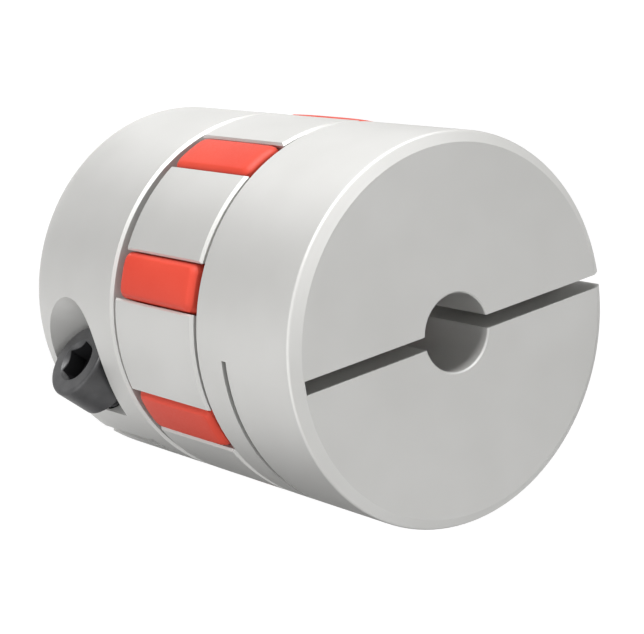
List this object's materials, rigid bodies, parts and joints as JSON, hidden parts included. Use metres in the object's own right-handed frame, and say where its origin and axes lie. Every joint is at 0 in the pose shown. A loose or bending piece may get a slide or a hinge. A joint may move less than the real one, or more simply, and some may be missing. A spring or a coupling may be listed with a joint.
{
  "type": "shaft coupling",
  "caption": "Jaw coupling that joins shafts end to end: slit clamp hubs with interlocking jaws, a red elastomer spider held between them, and a socket-head screw that closes each hub.",
  "frame": {"origin": "centre of the lower hub's bore at its mouth, in the plane of the end face that the coupling stands on", "axes": "+Z along the shaft axis, from the lower hub to the upper hub; +X through the hinge web of the upper hub's clamp"},
  "size_m": [0.0433, 0.04, 0.05],
  "materials": {
    "hub_aluminium": "satin, turned and finely blasted",
    "spider_elastomer": "satin moulded elastomer",
    "screw_steel": "black oxide on alloy steel"
  },
  "bodies": {
    "root": {"lower_hub": "hub_aluminium", "upper_hub": "hub_aluminium", "spider": "spider_elastomer", "lower_clamp_screw": "screw_steel", "upper_clamp_screw": "screw_steel"}
  },
  "joints": []
}
